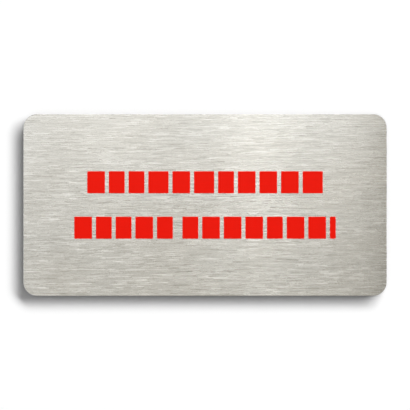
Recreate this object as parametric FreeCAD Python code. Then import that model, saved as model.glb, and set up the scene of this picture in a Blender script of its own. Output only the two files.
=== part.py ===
import FreeCAD, Part
import os

# A no entry sign for a door or a wall: a flat plate of brushed stainless steel with round corners,
# two centred lines of red print on its face, and three strips of foam tape that hold it from behind.
#
# Millimetres. X runs to the right as the sign is read, Z runs up, and the face looks along -Y.
# The origin is the middle of the wall plane: the outer face of the tape lies in Y = 0.

# Steel plate, cut from sheet
PLATE_WIDTH = 160.0
PLATE_HEIGHT = 80.0
PLATE_THICKNESS = 1.0
CORNER_RADIUS = 6.0
FRONT_EDGE_ROUND = 0.25  # the cut edge rolls over on the side that shows
BACK_EDGE_BEVEL = 0.1  # behind, only the burr is taken off

# Red print, a raised film of cured ink in plain blocks
INK_THICKNESS = 0.08
BLOCK_HEIGHT = 9.7
BLOCK_CORNER = 0.35
WIDE_BLOCK = 8.9
MIDDLE_BLOCK = 7.8
SLIM_BLOCK = 7.0
END_BLOCK = 2.6  # the narrow mark that closes the lower line
BLOCK_GAP = 1.7
WORD_GAP = 4.2
LINE_SPACING = 20.0  # from the middle of one line to the middle of the other

# Double-sided foam tape, in strips that run up and down
TAPE_WIDTH = 19.0
TAPE_THICKNESS = 1.1
TAPE_CORNER = 0.6  # the cut ends draw in a little at their corners
TAPE_SIDE_MARGIN = 10.0  # from an outer strip to the nearest side of the plate
TAPE_END_MARGIN = 9.0  # from the ends of a strip to the top and bottom of the plate
TAPE_PLACES = ("left", "middle", "right")

# Where one piece ends and the next begins, from the wall outwards
WALL_Y = 0.0
PLATE_BACK_Y = WALL_Y - TAPE_THICKNESS
PLATE_FRONT_Y = PLATE_BACK_Y - PLATE_THICKNESS

# The words of each line, block by block from the left
UPPER_LINE = [
    [MIDDLE_BLOCK, SLIM_BLOCK, SLIM_BLOCK, WIDE_BLOCK, MIDDLE_BLOCK, WIDE_BLOCK]
    + [SLIM_BLOCK, MIDDLE_BLOCK, MIDDLE_BLOCK, MIDDLE_BLOCK, WIDE_BLOCK],
]
LOWER_LINE = [
    [MIDDLE_BLOCK, SLIM_BLOCK, SLIM_BLOCK, MIDDLE_BLOCK, SLIM_BLOCK],
    [SLIM_BLOCK, MIDDLE_BLOCK, MIDDLE_BLOCK, MIDDLE_BLOCK, SLIM_BLOCK]
    + [MIDDLE_BLOCK, MIDDLE_BLOCK, END_BLOCK],
]

SAME_PLACE = 1e-6  # two heights that differ by less are one


def edges_centred_at(solid, y):
    """The edges of a solid whose middle lies in the plane Y = y."""
    return [edge for edge in solid.Edges if abs(edge.CenterOfMass.y - y) < SAME_PLACE]


def rounded_slab(centre_x, centre_z, width, height, corner, back_y, thickness):
    """A slab with four round corners that stands out along -Y from the plane Y = back_y."""
    low_corner = FreeCAD.Vector(centre_x - width / 2, back_y - thickness, centre_z - height / 2)
    slab = Part.makeBox(width, thickness, height, low_corner)
    return slab.makeFillet(corner, edges_centred_at(slab, back_y - thickness / 2))


def steel_plate():
    """One flat blank: round corners, a soft front edge and a deburred back edge."""
    blank = rounded_slab(0, 0, PLATE_WIDTH, PLATE_HEIGHT, CORNER_RADIUS, PLATE_BACK_Y, PLATE_THICKNESS)
    softened = blank.makeFillet(FRONT_EDGE_ROUND, edges_centred_at(blank, PLATE_FRONT_Y))
    return softened.makeChamfer(BACK_EDGE_BEVEL, edges_centred_at(softened, PLATE_BACK_Y))


def print_line(words, centre_z):
    """One line of print on the front of the plate, centred from side to side."""
    word_widths = [sum(word) + BLOCK_GAP * (len(word) - 1) for word in words]
    line_width = sum(word_widths) + WORD_GAP * (len(words) - 1)
    word_left = -line_width / 2
    blocks = []
    for word, word_width in zip(words, word_widths):
        left = word_left
        for width in word:
            centre_x = left + width / 2
            block = rounded_slab(
                centre_x, centre_z, width, BLOCK_HEIGHT, BLOCK_CORNER, PLATE_FRONT_Y, INK_THICKNESS
            )
            blocks.append(block)
            left += width + BLOCK_GAP
        word_left += word_width + WORD_GAP
    return Part.makeCompound(blocks)


def tape_strip(position):
    """One strip of tape between the wall and the plate; position runs from -1, left, to 1, right."""
    reach = PLATE_WIDTH / 2 - TAPE_SIDE_MARGIN - TAPE_WIDTH / 2
    length = PLATE_HEIGHT - 2 * TAPE_END_MARGIN
    return rounded_slab(position * reach, 0, TAPE_WIDTH, length, TAPE_CORNER, WALL_Y, TAPE_THICKNESS)


nodes = {
    "steel_plate": steel_plate(),
    "print_upper_line": print_line(UPPER_LINE, LINE_SPACING / 2),
    "print_lower_line": print_line(LOWER_LINE, -LINE_SPACING / 2),
}
last_place = len(TAPE_PLACES) - 1
for index, place in enumerate(TAPE_PLACES):
    nodes["foam_tape_" + place] = tape_strip(2 * index / last_place - 1)

os.makedirs("parts", exist_ok=True)
for name, shape in nodes.items():
    if not shape.isValid():
        raise ValueError(name + " is not a sound solid")
    shape.exportStep("parts/" + name + ".step")
    box = shape.optimalBoundingBox()
    print(
        f"{name}: {len(shape.Solids)} solids, {shape.Volume:.2f} mm3, "
        f"X {box.XMin:.2f} to {box.XMax:.2f}, Y {box.YMin:.2f} to {box.YMax:.2f}, "
        f"Z {box.ZMin:.2f} to {box.ZMax:.2f}"
    )
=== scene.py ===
import math

import bmesh
import bpy
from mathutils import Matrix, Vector, noise


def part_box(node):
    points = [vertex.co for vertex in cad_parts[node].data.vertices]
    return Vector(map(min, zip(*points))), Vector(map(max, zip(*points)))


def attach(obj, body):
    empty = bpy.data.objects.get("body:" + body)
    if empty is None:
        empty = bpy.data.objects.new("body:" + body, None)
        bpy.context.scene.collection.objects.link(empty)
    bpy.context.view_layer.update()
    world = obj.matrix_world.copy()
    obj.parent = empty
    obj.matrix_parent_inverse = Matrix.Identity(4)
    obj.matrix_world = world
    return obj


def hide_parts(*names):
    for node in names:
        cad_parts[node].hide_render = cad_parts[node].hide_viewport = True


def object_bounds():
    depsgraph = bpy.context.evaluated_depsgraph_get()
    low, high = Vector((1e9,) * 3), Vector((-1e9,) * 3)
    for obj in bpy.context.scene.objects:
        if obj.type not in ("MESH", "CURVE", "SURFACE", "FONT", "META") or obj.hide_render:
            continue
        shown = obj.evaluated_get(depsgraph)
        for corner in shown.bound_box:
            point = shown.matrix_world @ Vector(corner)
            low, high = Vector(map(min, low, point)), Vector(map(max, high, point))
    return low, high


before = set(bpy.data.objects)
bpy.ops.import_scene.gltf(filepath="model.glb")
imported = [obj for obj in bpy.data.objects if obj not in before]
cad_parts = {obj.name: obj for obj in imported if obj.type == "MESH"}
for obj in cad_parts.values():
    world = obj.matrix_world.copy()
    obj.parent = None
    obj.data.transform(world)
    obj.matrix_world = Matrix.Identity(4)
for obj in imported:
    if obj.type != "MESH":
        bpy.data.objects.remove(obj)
cad_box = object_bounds()

# Camera
# The sign was photographed straight on, with its middle in the middle of a square picture and no
# perspective to be seen. The lens is long, and stands off until the plate fills its share of the frame.
CAMERA_LENS = 100.0
CAMERA_SENSOR = 36.0
PLATE_SHARE_OF_FRAME = 0.8866
QUARTER_TURN = math.radians(90)

plate_low, plate_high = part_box("steel_plate")
camera_distance = (plate_high.x - plate_low.x) * CAMERA_LENS / (CAMERA_SENSOR * PLATE_SHARE_OF_FRAME)
camera_data = bpy.data.cameras.new("camera")
camera_data.lens = CAMERA_LENS
camera_data.sensor_width = CAMERA_SENSOR
camera = bpy.data.objects.new("camera", camera_data)
camera.location = (0, plate_low.y - camera_distance, 0)
camera.rotation_euler = (QUARTER_TURN, 0, 0)
bpy.context.collection.objects.link(camera)
bpy.context.scene.camera = camera


# Steel plate
# A blank of stainless sheet, 1 mm thick, brushed along its length on the face before it was cut. The
# cut edge rolls over towards the face and is duller than it; the back keeps its mill finish.
STEEL_COOL = (0.600, 0.599, 0.572)
STEEL_WARM = (0.613, 0.598, 0.556)
STEEL_ROUGHNESS = 0.26
STEEL_ANISOTROPY = 1.0
ROUGHNESS_VARIES = 0.11
CUT_ROUGHNESS = 0.55
BRUSH_ROW = 0.00044
BRUSH_LINES = [
    # length and thickness of one line, and how much it shows
    (0.0070, 0.00011, 0.34),
    (0.0022, BRUSH_ROW, 0.17),
    (0.0044, BRUSH_ROW, 0.32),
    (0.0095, BRUSH_ROW, 0.28),
    (0.0200, BRUSH_ROW, 0.11),
]
BRUSH_CONTRAST = 0.205  # how much lighter or darker than the steel a line can be
BRUSH_MIDDLE = 0.5  # the height of the face where no line stands out
BRUSH_BUMP = 0.2
BRUSH_DEPTH = 0.00001  # from the lowest line to the highest
LINE_END = 0.06  # how softly a line ends
ROW_SHIFT = 3710.0  # starts each row in a place of its own, in lengths of a line
STAND_OUT = 10.0  # the higher it is, the fewer lines stand out
DARK_SHARE = 0.55  # how strong the dark lines are beside the light ones
TONE_PATCH = (0.035, 1.0, 0.022)  # the size of one patch in X, Y and Z
CUT_MARK = (0.00012, 0.004, 0.00012)  # of one mark, likewise
MILL_GRAIN = (0.0030, 1.0, 0.00025)
MILL_LOW = 0.3  # the mill finish stays between these heights
MILL_HIGH = 0.7
FLAT_STARTS = 0.7  # how squarely a surface has to face out, from 0 to 1, to count as face or back
FLAT_ENDS = 0.95
SMOOTH_GRAIN = 1.0  # how much fine detail a noise has
ROUGH_GRAIN = 2.0


def new_finish(name):
    """A new material and the shader in its tree."""
    material = bpy.data.materials.new(name)
    material.use_nodes = True
    return material, material.node_tree.nodes["Principled BSDF"]


def add_node(tree, kind, settings, inputs):
    """A node with its settings; an input is a plain value or the socket that feeds it."""
    node = tree.nodes.new(kind)
    for setting, value in settings.items():
        setattr(node, setting, value)
    for socket, value in inputs.items():
        if isinstance(value, bpy.types.NodeSocket):
            tree.links.new(value, node.inputs[socket])
        else:
            node.inputs[socket].default_value = value
    return node


def calculate(tree, operation, *values):
    """What a Math node makes of up to three values."""
    return add_node(tree, "ShaderNodeMath", {"operation": operation}, dict(enumerate(values))).outputs[0]


def add_up(tree, base, parts):
    """A base value with each part added to it, times the part's own weight."""
    total = base
    for part, weight in parts:
        total = calculate(tree, "MULTIPLY_ADD", part, weight, total)
    return total


def ramp(tree, value, start, end, low, high):
    """A value that runs from low to high while the one it reads runs from start to end."""
    ends = {"Value": value, "From Min": start, "From Max": end, "To Min": low, "To Max": high}
    return add_node(tree, "ShaderNodeMapRange", {"clamp": True}, ends).outputs["Result"]


def blend_value(tree, share, first, second):
    """The first value where share is 0, the second where it is 1."""
    sockets = {0: share, 2: first, 3: second}  # a Mix node has its plain values in 2 and 3
    return add_node(tree, "ShaderNodeMix", {"data_type": "FLOAT"}, sockets).outputs[0]


def blend_colour(tree, share, first, second):
    """The first colour where share is 0, the second where it is 1."""
    sockets = {0: share, 6: first, 7: second}  # a Mix node has its colours in 6 and 7
    return add_node(tree, "ShaderNodeMix", {"data_type": "RGBA"}, sockets).outputs[2]


def lift(colour, step):
    """A colour with the same step added to each channel, with the alpha that a colour socket wants."""
    return [channel + step for channel in colour] + [1.0]


def grain_noise(tree, position, grain, detail):
    """Noise whose spots are as long in X, Y and Z as grain says, in metres."""
    scale = [1 / length for length in grain]
    spots = add_node(tree, "ShaderNodeMapping", {}, {"Vector": position, "Scale": scale})
    speckle = {"Vector": spots.outputs["Vector"], "Scale": 1.0, "Detail": detail}
    return add_node(tree, "ShaderNodeTexNoise", {}, speckle).outputs["Fac"]


def brush_lines(tree, position, length, thickness):
    """Rows of blunt dashes along X: most are faint, a few stand out light and a few dark."""
    axes = add_node(tree, "ShaderNodeSeparateXYZ", {}, {"Vector": position})
    row = calculate(tree, "FLOOR", calculate(tree, "DIVIDE", axes.outputs["Z"], thickness))
    seed = add_up(tree, length, [(row, 1.0)])
    start = add_node(tree, "ShaderNodeTexWhiteNoise", {"noise_dimensions": "1D"}, {"W": seed})
    along = add_up(tree, 0.0, [(axes.outputs["X"], 1 / length), (start.outputs["Value"], ROW_SHIFT)])
    dashes = add_node(
        tree,
        "ShaderNodeTexVoronoi",
        {"voronoi_dimensions": "1D", "feature": "SMOOTH_F1"},
        {"W": along, "Scale": 1.0, "Smoothness": LINE_END},
    )
    tones = add_node(tree, "ShaderNodeSeparateColor", {}, {"Color": dashes.outputs["Color"]})
    light = calculate(tree, "POWER", tones.outputs["Red"], STAND_OUT)
    dark = calculate(tree, "POWER", tones.outputs["Green"], STAND_OUT)
    return add_up(tree, 0.0, [(light, 1.0), (dark, -DARK_SHARE)])


def brushed_face(tree, position):
    """All the lines of the brushed face together, round the middle height."""
    layers = []
    for length, thickness, show in BRUSH_LINES:
        layers.append((brush_lines(tree, position, length, thickness), show))
    return add_up(tree, BRUSH_MIDDLE, layers)


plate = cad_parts["steel_plate"]
steel, steel_shader = new_finish("brushed_steel")
steel_tree = steel.node_tree
steel_place = add_node(steel_tree, "ShaderNodeTexCoord", {}, {})
facing = add_node(steel_tree, "ShaderNodeSeparateXYZ", {}, {"Vector": steel_place.outputs["Normal"]})
on_face = ramp(steel_tree, facing.outputs["Y"], -FLAT_STARTS, -FLAT_ENDS, 0, 1)
on_back = ramp(steel_tree, facing.outputs["Y"], FLAT_STARTS, FLAT_ENDS, 0, 1)
on_cut = add_up(steel_tree, 1.0, [(on_face, -1.0), (on_back, -1.0)])

brushed = brushed_face(steel_tree, steel_place.outputs["Object"])
tone = grain_noise(steel_tree, steel_place.outputs["Object"], TONE_PATCH, SMOOTH_GRAIN)
cut = grain_noise(steel_tree, steel_place.outputs["Object"], CUT_MARK, SMOOTH_GRAIN)
grain = grain_noise(steel_tree, steel_place.outputs["Object"], MILL_GRAIN, ROUGH_GRAIN)
mill = ramp(steel_tree, grain, 0, 1, MILL_LOW, MILL_HIGH)
edge_or_back = blend_value(steel_tree, on_back, cut, mill)
relief = blend_value(steel_tree, on_face, edge_or_back, brushed)

light_steel = blend_colour(
    steel_tree, tone, lift(STEEL_COOL, BRUSH_CONTRAST), lift(STEEL_WARM, BRUSH_CONTRAST)
)
dark_steel = blend_colour(
    steel_tree, tone, lift(STEEL_COOL, -BRUSH_CONTRAST), lift(STEEL_WARM, -BRUSH_CONTRAST)
)
steel_colour = blend_colour(steel_tree, relief, dark_steel, light_steel)
flat_roughness = add_up(steel_tree, STEEL_ROUGHNESS - ROUGHNESS_VARIES / 2, [(relief, ROUGHNESS_VARIES)])
steel_roughness = blend_value(steel_tree, on_cut, flat_roughness, CUT_ROUGHNESS)
steel_bump = add_node(
    steel_tree, "ShaderNodeBump", {}, {"Height": relief, "Strength": BRUSH_BUMP, "Distance": BRUSH_DEPTH}
)
upright = add_node(steel_tree, "ShaderNodeCombineXYZ", {}, {"Z": 1.0})
across_brushing = add_node(
    steel_tree,
    "ShaderNodeVectorTransform",
    {"vector_type": "VECTOR", "convert_from": "OBJECT", "convert_to": "WORLD"},
    {"Vector": upright.outputs["Vector"]},
)
steel_shader.inputs["Metallic"].default_value = 1.0
steel_shader.inputs["Anisotropic"].default_value = STEEL_ANISOTROPY
steel_tree.links.new(steel_colour, steel_shader.inputs["Base Color"])
steel_tree.links.new(steel_roughness, steel_shader.inputs["Roughness"])
steel_tree.links.new(steel_bump.outputs["Normal"], steel_shader.inputs["Normal"])
steel_tree.links.new(across_brushing.outputs["Vector"], steel_shader.inputs["Tangent"])
plate.material_slots[0].material = steel


# Red print
# Two centred lines of blocks in red ink, printed on the brushed face and cured there to a thin raised
# film. The film rounds over at its rim, and the brush lines under it still show faintly through.
INK_COLOUR = (0.795, 0.0074, 0.0014)
INK_DARK = 0.94  # the darkest and the lightest shade of it
INK_LIGHT = 1.06
INK_ROUGHNESS = 0.42
INK_ROUGHNESS_VARIES = 0.1
INK_SPECULAR = 0.12
INK_PATCH = (0.004, 0.004, 0.004)
LINE_SHOWS_THROUGH = 0.6
PATCH_SHOWS = 0.4
BLOCK_CORNER = 0.00035
BLOCK_CORNER_STEPS = 5
BLOCK_GAP = 0.0017
WORD_GAP = 0.0042
RIM_ROUND = 0.00004
RIM_STEPS = 3
SAME_POINT = 1e-7  # points nearer than this are one
WIDE_BLOCK = 0.0089
MIDDLE_BLOCK = 0.0078
SLIM_BLOCK = 0.0070
END_BLOCK = 0.0026
UPPER_WORDS = [
    [MIDDLE_BLOCK, SLIM_BLOCK, SLIM_BLOCK, WIDE_BLOCK, MIDDLE_BLOCK, WIDE_BLOCK]
    + [SLIM_BLOCK, MIDDLE_BLOCK, MIDDLE_BLOCK, MIDDLE_BLOCK, WIDE_BLOCK],
]
LOWER_WORDS = [
    [MIDDLE_BLOCK, SLIM_BLOCK, SLIM_BLOCK, MIDDLE_BLOCK, SLIM_BLOCK],
    [SLIM_BLOCK, MIDDLE_BLOCK, MIDDLE_BLOCK, MIDDLE_BLOCK, SLIM_BLOCK]
    + [MIDDLE_BLOCK, MIDDLE_BLOCK, END_BLOCK],
]


def shade(colour, level):
    """A colour made lighter or darker, with the alpha that a colour socket wants."""
    return [channel * level for channel in colour] + [1.0]


ink, ink_shader = new_finish("red_ink_film")
ink_tree = ink.node_tree
ink_place = add_node(ink_tree, "ShaderNodeTexCoord", {}, {})
ink_line = brushed_face(ink_tree, ink_place.outputs["Object"])
ink_patch = grain_noise(ink_tree, ink_place.outputs["Object"], INK_PATCH, ROUGH_GRAIN)
ink_relief = add_up(ink_tree, 0.0, [(ink_line, LINE_SHOWS_THROUGH), (ink_patch, PATCH_SHOWS)])
ink_colour = blend_colour(ink_tree, ink_relief, shade(INK_COLOUR, INK_DARK), shade(INK_COLOUR, INK_LIGHT))
ink_least_rough = INK_ROUGHNESS - INK_ROUGHNESS_VARIES / 2
ink_roughness = add_up(ink_tree, ink_least_rough, [(ink_relief, INK_ROUGHNESS_VARIES)])
ink_bump = add_node(
    ink_tree, "ShaderNodeBump", {}, {"Height": ink_relief, "Strength": BRUSH_BUMP, "Distance": BRUSH_DEPTH}
)
ink_shader.inputs["Specular IOR Level"].default_value = INK_SPECULAR
ink_tree.links.new(ink_colour, ink_shader.inputs["Base Color"])
ink_tree.links.new(ink_roughness, ink_shader.inputs["Roughness"])
ink_tree.links.new(ink_bump.outputs["Normal"], ink_shader.inputs["Normal"])

# Each mark, a point with a width, becomes one block: an outline, filled, raised and closed below
block_tree = bpy.data.node_groups.new("printed_blocks", "GeometryNodeTree")
block_tree.interface.new_socket("Geometry", in_out="INPUT", socket_type="NodeSocketGeometry")
for size_name in ("Block Height", "Corner Radius", "Film Thickness"):
    block_tree.interface.new_socket(size_name, in_out="INPUT", socket_type="NodeSocketFloat")
block_tree.interface.new_socket("Ink", in_out="INPUT", socket_type="NodeSocketMaterial")
block_tree.interface.new_socket("Geometry", in_out="OUTPUT", socket_type="NodeSocketGeometry")
sizes = block_tree.nodes.new("NodeGroupInput")
print_out = block_tree.nodes.new("NodeGroupOutput")
marks = add_node(block_tree, "GeometryNodeMeshToPoints", {}, {"Mesh": sizes.outputs["Geometry"]})
mark_place = block_tree.nodes.new("GeometryNodeInputPosition")
mark_width = add_node(
    block_tree, "GeometryNodeInputNamedAttribute", {"data_type": "FLOAT"}, {"Name": "block_width"}
)
each_mark = block_tree.nodes.new("GeometryNodeForeachGeometryElementInput")
all_blocks = block_tree.nodes.new("GeometryNodeForeachGeometryElementOutput")
each_mark.pair_with_output(all_blocks)
all_blocks.domain = "POINT"
all_blocks.input_items.new("VECTOR", "Place")
all_blocks.input_items.new("FLOAT", "Width")
block_tree.links.new(marks.outputs["Points"], each_mark.inputs["Geometry"])
block_tree.links.new(mark_place.outputs["Position"], each_mark.inputs["Place"])
block_tree.links.new(mark_width.outputs["Attribute"], each_mark.inputs["Width"])
outline = add_node(
    block_tree,
    "GeometryNodeCurvePrimitiveQuadrilateral",
    {"mode": "RECTANGLE"},
    {"Width": each_mark.outputs["Width"], "Height": sizes.outputs["Block Height"]},
)
corners = add_node(
    block_tree,
    "GeometryNodeFilletCurve",
    {"mode": "POLY"},
    {
        "Curve": outline.outputs["Curve"],
        "Count": BLOCK_CORNER_STEPS,
        "Radius": sizes.outputs["Corner Radius"],
    },
)
underside = add_node(
    block_tree, "GeometryNodeFillCurve", {"mode": "NGONS"}, {"Curve": corners.outputs["Curve"]}
)
film = add_node(
    block_tree,
    "GeometryNodeExtrudeMesh",
    {"mode": "FACES"},
    {"Mesh": underside.outputs["Mesh"], "Offset Scale": sizes.outputs["Film Thickness"]},
)
soft_rim = add_node(
    block_tree,
    "GeometryNodeStoreNamedAttribute",
    {"data_type": "FLOAT", "domain": "EDGE"},
    {"Geometry": film.outputs["Mesh"], "Name": "bevel_weight_edge", "Value": film.outputs["Top"]},
)
closed_below = add_node(block_tree, "GeometryNodeFlipFaces", {}, {"Mesh": underside.outputs["Mesh"]})
shell = block_tree.nodes.new("GeometryNodeJoinGeometry")
block_tree.links.new(soft_rim.outputs["Geometry"], shell.inputs["Geometry"])
block_tree.links.new(closed_below.outputs["Mesh"], shell.inputs["Geometry"])
sealed = add_node(
    block_tree,
    "GeometryNodeMergeByDistance",
    {},
    {"Geometry": shell.outputs["Geometry"], "Distance": SAME_POINT},
)
laid_on = add_node(
    block_tree,
    "GeometryNodeTransform",
    {},
    {
        "Geometry": sealed.outputs["Geometry"],
        "Translation": each_mark.outputs["Place"],
        "Rotation": (QUARTER_TURN, 0, 0),
    },
)
block_tree.links.new(laid_on.outputs["Geometry"], all_blocks.inputs["Geometry"])
realized = block_tree.nodes.new("GeometryNodeRealizeInstances")
inked = add_node(block_tree, "GeometryNodeSetMaterial", {}, {"Material": sizes.outputs["Ink"]})
block_tree.links.new(all_blocks.outputs["Generation_0"], realized.inputs["Geometry"])
block_tree.links.new(realized.outputs["Geometry"], inked.inputs["Geometry"])
block_tree.links.new(inked.outputs["Geometry"], print_out.inputs["Geometry"])


def set_inputs(modifier, values):
    """Gives a Geometry Nodes modifier its sizes, each by its socket's identifier."""
    for item in modifier.node_group.interface.items_tree:
        if item.in_out == "INPUT" and item.name in values:
            modifier[item.identifier] = values[item.name]


def finished_mesh(piece):
    """Leaves the mesh that a piece's modifiers make on the piece itself, with the modifiers gone."""
    depsgraph = bpy.context.evaluated_depsgraph_get()
    made = bpy.data.meshes.new_from_object(piece.evaluated_get(depsgraph), depsgraph=depsgraph)
    piece.modifiers.clear()
    piece.data = made
    made.name = piece.name


def printed_line(name, words, node):
    """One line of blocks in the place of its CAD node, from the left of the line."""
    low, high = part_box(node)
    left = low.x
    places = []
    widths = []
    for word in words:
        for width in word:
            places.append((left + width / 2, high.y, (low.z + high.z) / 2))
            widths.append(width)
            left += width + BLOCK_GAP
        left += WORD_GAP - BLOCK_GAP
    mesh = bpy.data.meshes.new(name)
    mesh.from_pydata(places, [], [])
    mesh.attributes.new("block_width", "FLOAT", "POINT").data.foreach_set("value", widths)
    piece = bpy.data.objects.new(name, mesh)
    bpy.context.collection.objects.link(piece)
    blocks = piece.modifiers.new("blocks", "NODES")
    blocks.node_group = block_tree
    block_sizes = {
        "Block Height": high.z - low.z,
        "Corner Radius": BLOCK_CORNER,
        "Film Thickness": high.y - low.y,
        "Ink": ink,
    }
    set_inputs(blocks, block_sizes)
    finished_mesh(piece)
    rim = piece.modifiers.new("rim", "BEVEL")
    rim.width = RIM_ROUND
    rim.segments = RIM_STEPS
    rim.limit_method = "WEIGHT"
    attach(piece, "root")
    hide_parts(node)


printed_line("upper_print_film", UPPER_WORDS, "print_upper_line")
printed_line("lower_print_film", LOWER_WORDS, "print_lower_line")


# Foam tape
# Three strips of double-sided tape: a white closed-cell foam core between two films of clear adhesive.
# They were cut by hand, so the ends aren't quite square, and the foam draws in a little at its sides.
FOAM_COLOUR = (0.80, 0.79, 0.75)
# painted shade: the pores get a darker colour for the shade in the hollows of the cut cells
PORE_SHADE_COLOUR = (0.66, 0.65, 0.61)
ADHESIVE_SHADE = 0.93
ADHESIVE_ROUGHNESS = 0.28
FOAM_ROUGHNESS = 0.8
FOAM_BUMP = 0.4
FOAM_DEPTH = 0.00004
PORE = (0.00022, 0.00022, 0.00022)
PORE_STARTS = 0.35
PORE_ENDS = 0.55
ADHESIVE_WEAVE = (0.0011, 1.0, 0.0011)
ADHESIVE_STARTS = 0.75  # how squarely a surface has to face the wall or the plate to be adhesive
ADHESIVE_ENDS = 0.95
TAPE_CORNER = 0.0006
TAPE_STEP = 0.0008  # spacing of the points along the outline
CORNER_STEPS = 6
FOAM_UNEVEN = 0.00005  # how much further the foam draws in at most, where it is uneven
UNEVEN_SPOTS = 1500  # to the metre
TAPE_LAYERS = [
    # share of the way from the wall to the plate, and how far the sides draw in there
    (0.0, 0.00008),
    (0.03, 0.00002),
    (0.08, 0.0),
    (0.11, 0.00008),
    (0.2, 0.00013),
    (0.35, 0.00018),
    (0.5, 0.0002),
    (0.65, 0.00018),
    (0.8, 0.00013),
    (0.89, 0.00008),
    (0.92, 0.0),
    (0.97, 0.00002),
    (1.0, 0.00008),
]
END_SLANT = 0.00035  # the most that a cut end draws in at one of its corners
TAPE_STRIPS = [
    # name, CAD node, and the share of END_SLANT at the left and right corner, above and then below
    ("left_tape_strip", "foam_tape_left", ((1.0, 0.0), (0.0, 0.4))),
    ("middle_tape_strip", "foam_tape_middle", ((0.3, 0.0), (1.0, 0.0))),
    ("right_tape_strip", "foam_tape_right", ((0.0, 0.6), (0.0, 0.8))),
]

foam, foam_shader = new_finish("tape_foam_and_adhesive")
foam_tree = foam.node_tree
foam_place = add_node(foam_tree, "ShaderNodeTexCoord", {}, {})
foam_facing = add_node(foam_tree, "ShaderNodeSeparateXYZ", {}, {"Vector": foam_place.outputs["Normal"]})
foam_turn = calculate(foam_tree, "ABSOLUTE", foam_facing.outputs["Y"])
on_adhesive = ramp(foam_tree, foam_turn, ADHESIVE_STARTS, ADHESIVE_ENDS, 0, 1)
pores = grain_noise(foam_tree, foam_place.outputs["Object"], PORE, ROUGH_GRAIN)
weave = grain_noise(foam_tree, foam_place.outputs["Object"], ADHESIVE_WEAVE, ROUGH_GRAIN)
foam_relief = blend_value(foam_tree, on_adhesive, pores, weave)
# Painted shade: the foam is coloured darker in its pores, where the bump makes it lowest
between_pores = ramp(foam_tree, pores, PORE_STARTS, PORE_ENDS, 0, 1)
cell_colour_with_pore_shade = blend_colour(foam_tree, between_pores, shade(PORE_SHADE_COLOUR, 1.0), shade(FOAM_COLOUR, 1.0))
film_colour = blend_colour(foam_tree, weave, shade(FOAM_COLOUR, ADHESIVE_SHADE), shade(FOAM_COLOUR, 1.0))
foam_colour = blend_colour(foam_tree, on_adhesive, cell_colour_with_pore_shade, film_colour)
foam_roughness = blend_value(foam_tree, on_adhesive, FOAM_ROUGHNESS, ADHESIVE_ROUGHNESS)
foam_bump = add_node(
    foam_tree, "ShaderNodeBump", {}, {"Height": foam_relief, "Strength": FOAM_BUMP, "Distance": FOAM_DEPTH}
)
foam_tree.links.new(foam_colour, foam_shader.inputs["Base Color"])
foam_tree.links.new(foam_roughness, foam_shader.inputs["Roughness"])
foam_tree.links.new(foam_bump.outputs["Normal"], foam_shader.inputs["Normal"])


def round_outline(width, height, corner, step_length):
    """Points and outward directions round an upright shape with round corners, centred on the origin."""
    half_width = width / 2 - corner
    half_height = height / 2 - corner
    turns = [(1, 1), (-1, 1), (-1, -1), (1, -1)]
    points = []
    for quarter, (side, end) in enumerate(turns):
        centre = Vector((side * half_width, end * half_height))
        for step in range(CORNER_STEPS + 1):
            angle = QUARTER_TURN * (quarter + step / CORNER_STEPS)
            out = Vector((math.cos(angle), math.sin(angle)))
            points.append((centre + out * corner, out))
        next_side, next_end = turns[(quarter + 1) % len(turns)]
        start = points[-1][0]
        stop = Vector((next_side * half_width, next_end * half_height)) + out * corner
        count = max(1, round((stop - start).length / step_length))
        points += [(start.lerp(stop, step / count), out) for step in range(1, count)]
    return points


def tape_strip(name, node, slants):
    """One strip in the place of its CAD node; slants has a share of END_SLANT for each corner."""
    low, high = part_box(node)
    middle = (low + high) / 2
    half_width = (high.x - low.x) / 2
    half_length = (high.z - low.z) / 2
    outline_points = round_outline(high.x - low.x, high.z - low.z, TAPE_CORNER, TAPE_STEP)
    skin = bmesh.new()
    rings = []
    for share, inset in TAPE_LAYERS:
        ring = []
        for point, out in outline_points:
            right = (point.x / half_width + 1) / 2
            end = 0 if point.y > 0 else 1
            slant = END_SLANT * (slants[end][0] * (1 - right) + slants[end][1] * right)
            drawn = point - out * inset
            drawn.y *= 1 - slant / half_length
            y = high.y + (low.y - high.y) * share
            spot = Vector((middle.x + drawn.x, y, middle.z + drawn.y))
            if 0 < share < 1:
                rough = noise.noise(spot * UNEVEN_SPOTS) * FOAM_UNEVEN
                spot -= Vector((out.x, 0, out.y)) * (rough + FOAM_UNEVEN) / 2
            ring.append(skin.verts.new(spot))
        rings.append(ring)
    for outer, inner in zip(rings, rings[1:]):
        for step in range(len(outer)):
            side = skin.faces.new((outer[step - 1], outer[step], inner[step], inner[step - 1]))
            side.smooth = True
    for ring in (rings[0], rings[-1]):
        hub = skin.verts.new((middle.x, ring[0].co.y, middle.z))
        for step in range(len(ring)):
            skin.faces.new((ring[step - 1], ring[step], hub))
    bmesh.ops.recalc_face_normals(skin, faces=skin.faces)
    mesh = bpy.data.meshes.new(name)
    skin.to_mesh(mesh)
    skin.free()
    mesh.materials.append(foam)
    piece = bpy.data.objects.new(name, mesh)
    bpy.context.collection.objects.link(piece)
    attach(piece, "root")
    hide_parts(node)


for strip_name, strip_node, strip_slants in TAPE_STRIPS:
    tape_strip(strip_name, strip_node, strip_slants)


# Wall and floor
# The sign hangs on a plain white wall above a pale floor. From behind, the wall is clear, and the blind,
# a black ring behind the plate's edge that no camera sees, keeps light from there off the shadow.
WALL_GAP = 0.0003
WALL_REACH = 3.0
FLOOR_DROP = 1.2
WALL_COLOUR = (1.0, 1.0, 1.0)
FLOOR_COLOUR = (0.9, 0.9, 0.9)
WHITE = (1.0, 1.0, 1.0)
BLACK = (0.0, 0.0, 0.0)
BLIND_INSET = 0.0001
BLIND_CORNER = 0.0058
ONE_FACE = [(0, 1, 2, 3)]


def bare_finish(name):
    """A material without a shader, and the empty tree in it."""
    material = bpy.data.materials.new(name)
    material.use_nodes = True
    material.node_tree.nodes.clear()
    return material, material.node_tree


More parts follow.
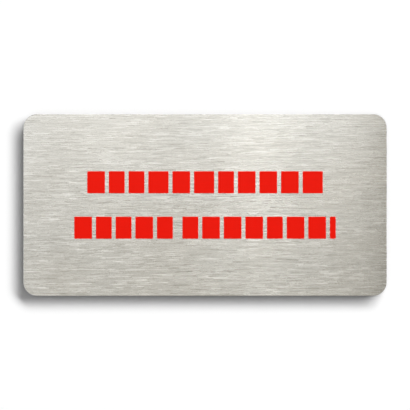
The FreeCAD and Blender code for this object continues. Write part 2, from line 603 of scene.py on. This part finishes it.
def mixed_surface(tree, share, first, second):
    """Makes the tree's surface the first shader where share is 0 and the second where it is 1."""
    mix = add_node(tree, "ShaderNodeMixShader", {}, {0: share, 1: first.outputs[0], 2: second.outputs[0]})
    add_node(tree, "ShaderNodeOutputMaterial", {}, {"Surface": mix.outputs["Shader"]})


def stage_sheet(name, points, faces, surface):
    """A thin sheet that isn't part of the sign: it casts no shadow, and only the camera sees it."""
    mesh = bpy.data.meshes.new(name)
    mesh.from_pydata(points, [], faces)
    mesh.materials.append(surface)
    sheet = bpy.data.objects.new(name, mesh)
    bpy.context.collection.objects.link(sheet)
    sheet.visible_shadow = False
    sheet.visible_diffuse = False
    sheet.visible_glossy = False
    return sheet


wall_paint, wall_tree = bare_finish("white_wall")
wall_side = wall_tree.nodes.new("ShaderNodeNewGeometry")
wall_white = add_node(wall_tree, "ShaderNodeBsdfDiffuse", {}, {"Color": shade(WALL_COLOUR, 1.0)})
wall_clear = wall_tree.nodes.new("ShaderNodeBsdfTransparent")
mixed_surface(wall_tree, wall_side.outputs["Backfacing"], wall_white, wall_clear)
wall_y = cad_box[1].y + WALL_GAP
wall_corners = [
    (-WALL_REACH, wall_y, -FLOOR_DROP),
    (WALL_REACH, wall_y, -FLOOR_DROP),
    (WALL_REACH, wall_y, WALL_REACH),
    (-WALL_REACH, wall_y, WALL_REACH),
]
stage_sheet("wall", wall_corners, ONE_FACE, wall_paint)

floor_paint, floor_tree = bare_finish("pale_floor")
floor_ray = floor_tree.nodes.new("ShaderNodeLightPath")
floor_matt = add_node(floor_tree, "ShaderNodeBsdfDiffuse", {}, {"Color": shade(FLOOR_COLOUR, 1.0)})
floor_white = add_node(floor_tree, "ShaderNodeEmission", {}, {"Color": shade(WHITE, 1.0), "Strength": 1.0})
mixed_surface(floor_tree, floor_ray.outputs["Is Camera Ray"], floor_matt, floor_white)
floor_corners = [
    (-WALL_REACH, wall_y, -FLOOR_DROP),
    (-WALL_REACH, -WALL_REACH, -FLOOR_DROP),
    (WALL_REACH, -WALL_REACH, -FLOOR_DROP),
    (WALL_REACH, wall_y, -FLOOR_DROP),
]
stage_sheet("floor", floor_corners, ONE_FACE, floor_paint)

blind_card, blind_shader = new_finish("black_card")
blind_shader.inputs["Base Color"].default_value = shade(BLACK, 1.0)
blind_shader.inputs["Specular IOR Level"].default_value = 0.0
blind_width = plate_high.x - plate_low.x - 2 * BLIND_INSET
blind_height = plate_high.z - plate_low.z - 2 * BLIND_INSET
blind_corners = round_outline(blind_width, blind_height, BLIND_CORNER, blind_width)
blind_outline = [point for point, out in blind_corners]
blind_points = [(point.x, y, point.y) for y in (plate_high.y, wall_y) for point in blind_outline]
blind_count = len(blind_outline)
blind_faces = []
for step in range(blind_count):
    after = (step + 1) % blind_count
    blind_faces.append((step, after, after + blind_count, step + blind_count))
blind = stage_sheet("blind", blind_points, blind_faces, blind_card)
blind.visible_camera = False
blind.visible_diffuse = True


# Light
# A studio with one very large, slanted lamp far off at the upper right and an even white surround. The
# soft box, three strip lamps and four grey cards, one of them behind the sign, show only in the metal.
STUDIO_DEPTH = 6.0
STUDIO_ASIDE = 2.12  # how far up and to the right its middle is, in depths
STUDIO_LENGTH = 3.8  # in depths too
STUDIO_WIDTH = 1.9
STUDIO_SLANT = math.radians(45)
STUDIO_LEVEL = 32.5
SURROUND_IN_FRONT = 0.265  # how brightly it lights matt surfaces
SURROUND_BEHIND = 0.9
SURROUND_TURN = 0.05  # how far from sideways one level goes over into the other
SURROUND_SHOWN = 1.0
DEEPEST_BOUNCE = 9.0  # more than a ray ever makes
MIRRORED_STARTS = 0.4  # anywhere between no bounce and one
MIRRORED_ENDS = 0.6
WARM_CARD = (1.0, 0.94, 0.82)
PALE_CARD = (1.0, 0.99, 0.97)
METAL_LAMPS = [
    # name, degrees off straight ahead at which the metal mirrors its left, right, lower and upper edge,
    # how far before the plate it stands, and how bright it is
    ("overhead_box", (-11, 9.8, 11, 35), 0.9, 1.84),
    ("right_strip", (1.4, 4.3, 11, 35), 0.85, 1.8),
    ("left_strip", (-6.0, -3.6, 11, 35), 0.8, 0.6),
    ("end_strip", (6.6, 8.8, 11, 35), 0.75, 0.5),
]
METAL_CARDS = [
    # the same for each card
    ("low_card", (-10, 40, -70, 5), 1.0, 0.45),
    ("right_card", (9, 40, 5, 60), 1.0, 0.6),
    ("corner_card", (8.2, 40, -70, 2), 0.95, 0.30),
]
REAR_CARD_REACH = 8.0
REAR_CARD_TOP = -0.35
REAR_CARD_Y = 1.5
REAR_CARD_LEVEL = 0.5


def soft_box(name, edges, depth, level):
    """A flat lamp that faces the wall at that depth before the plate; level is how bright its surface is."""
    left, right, bottom, top = edges
    lamp_data = bpy.data.lights.new(name, "AREA")
    lamp_data.shape = "RECTANGLE"
    lamp_data.size = right - left
    lamp_data.size_y = top - bottom
    lamp_data.energy = level * math.pi * lamp_data.size * lamp_data.size_y
    lamp = bpy.data.objects.new(name, lamp_data)
    lamp.location = ((left + right) / 2, plate_low.y - depth, (bottom + top) / 2)
    lamp.rotation_euler = (QUARTER_TURN, 0, 0)
    lamp.visible_camera = False
    bpy.context.collection.objects.link(lamp)
    return lamp


def mirrored_edges(angles, depth):
    """The four edges of a sheet at that depth before the plate, from the angles that mirror them."""
    return [math.tan(math.radians(angle)) * (depth + camera_distance) for angle in angles]


def card_for_metal(name, edges, y, colour, level):
    """A grey card in the plane of that y, which only the metal shows."""
    paper, paper_tree = bare_finish(name)
    glow = add_node(paper_tree, "ShaderNodeEmission", {}, {"Color": shade(colour, 1.0), "Strength": level})
    add_node(paper_tree, "ShaderNodeOutputMaterial", {}, {"Surface": glow.outputs["Emission"]})
    left, right, bottom, top = edges
    card_corners = [(left, y, bottom), (right, y, bottom), (right, y, top), (left, y, top)]
    card = stage_sheet(name, card_corners, ONE_FACE, paper)
    card.visible_camera = False
    card.visible_glossy = True


studio_edges = [STUDIO_DEPTH * (STUDIO_ASIDE + side * STUDIO_LENGTH / 2) for side in (-1, 1)]
studio_edges += [STUDIO_DEPTH * (STUDIO_ASIDE + side * STUDIO_WIDTH / 2) for side in (-1, 1)]
studio_lamp = soft_box("studio_lamp", studio_edges, STUDIO_DEPTH, STUDIO_LEVEL)
studio_lamp.rotation_euler.y = STUDIO_SLANT
studio_lamp.visible_glossy = False
for lamp_name, angles, depth, level in METAL_LAMPS:
    soft_box(lamp_name, mirrored_edges(angles, depth), depth, level).visible_diffuse = False
for card_name, angles, depth, level in METAL_CARDS:
    card_for_metal(card_name, mirrored_edges(angles, depth), plate_low.y - depth, WARM_CARD, level)
rear_edges = (-REAR_CARD_REACH, REAR_CARD_REACH, -REAR_CARD_REACH, REAR_CARD_TOP)
card_for_metal("rear_card", rear_edges, REAR_CARD_Y, PALE_CARD, REAR_CARD_LEVEL)

# The camera, metal and glass see the surround plain white, and matt surfaces are lit by it. What one of
# them would get by way of the metal is left out: that ray has bounced off it, but isn't leaving it now
world = bpy.data.worlds.new("surround")
world.use_nodes = True
world_tree = world.node_tree
world_tree.nodes.clear()
world_place = world_tree.nodes.new("ShaderNodeTexCoord")
world_side = add_node(world_tree, "ShaderNodeSeparateXYZ", {}, {"Vector": world_place.outputs["Generated"]})
surround_level = ramp(
    world_tree, world_side.outputs["Y"], -SURROUND_TURN, SURROUND_TURN, SURROUND_IN_FRONT, SURROUND_BEHIND
)
world_ray = world_tree.nodes.new("ShaderNodeLightPath")
shown = world_ray.outputs["Is Camera Ray"]
for other_ray in ("Is Glossy Ray", "Is Transmission Ray"):
    shown = calculate(world_tree, "MAXIMUM", shown, world_ray.outputs[other_ray])
first_strength = blend_value(world_tree, shown, surround_level, SURROUND_SHOWN)
leaves_matt = world_ray.outputs["Is Diffuse Ray"]
bounces = add_up(world_tree, world_ray.outputs["Diffuse Depth"], [(leaves_matt, -DEEPEST_BOUNCE)])
by_mirror = ramp(world_tree, bounces, MIRRORED_STARTS, MIRRORED_ENDS, 0, 1)
world_strength = blend_value(world_tree, by_mirror, first_strength, 0.0)
world_light = add_node(
    world_tree, "ShaderNodeBackground", {}, {"Color": shade(WHITE, 1.0), "Strength": world_strength}
)
add_node(world_tree, "ShaderNodeOutputWorld", {}, {"Surface": world_light.outputs["Background"]})
bpy.context.scene.world = world
bpy.context.scene.view_settings.view_transform = "Standard"
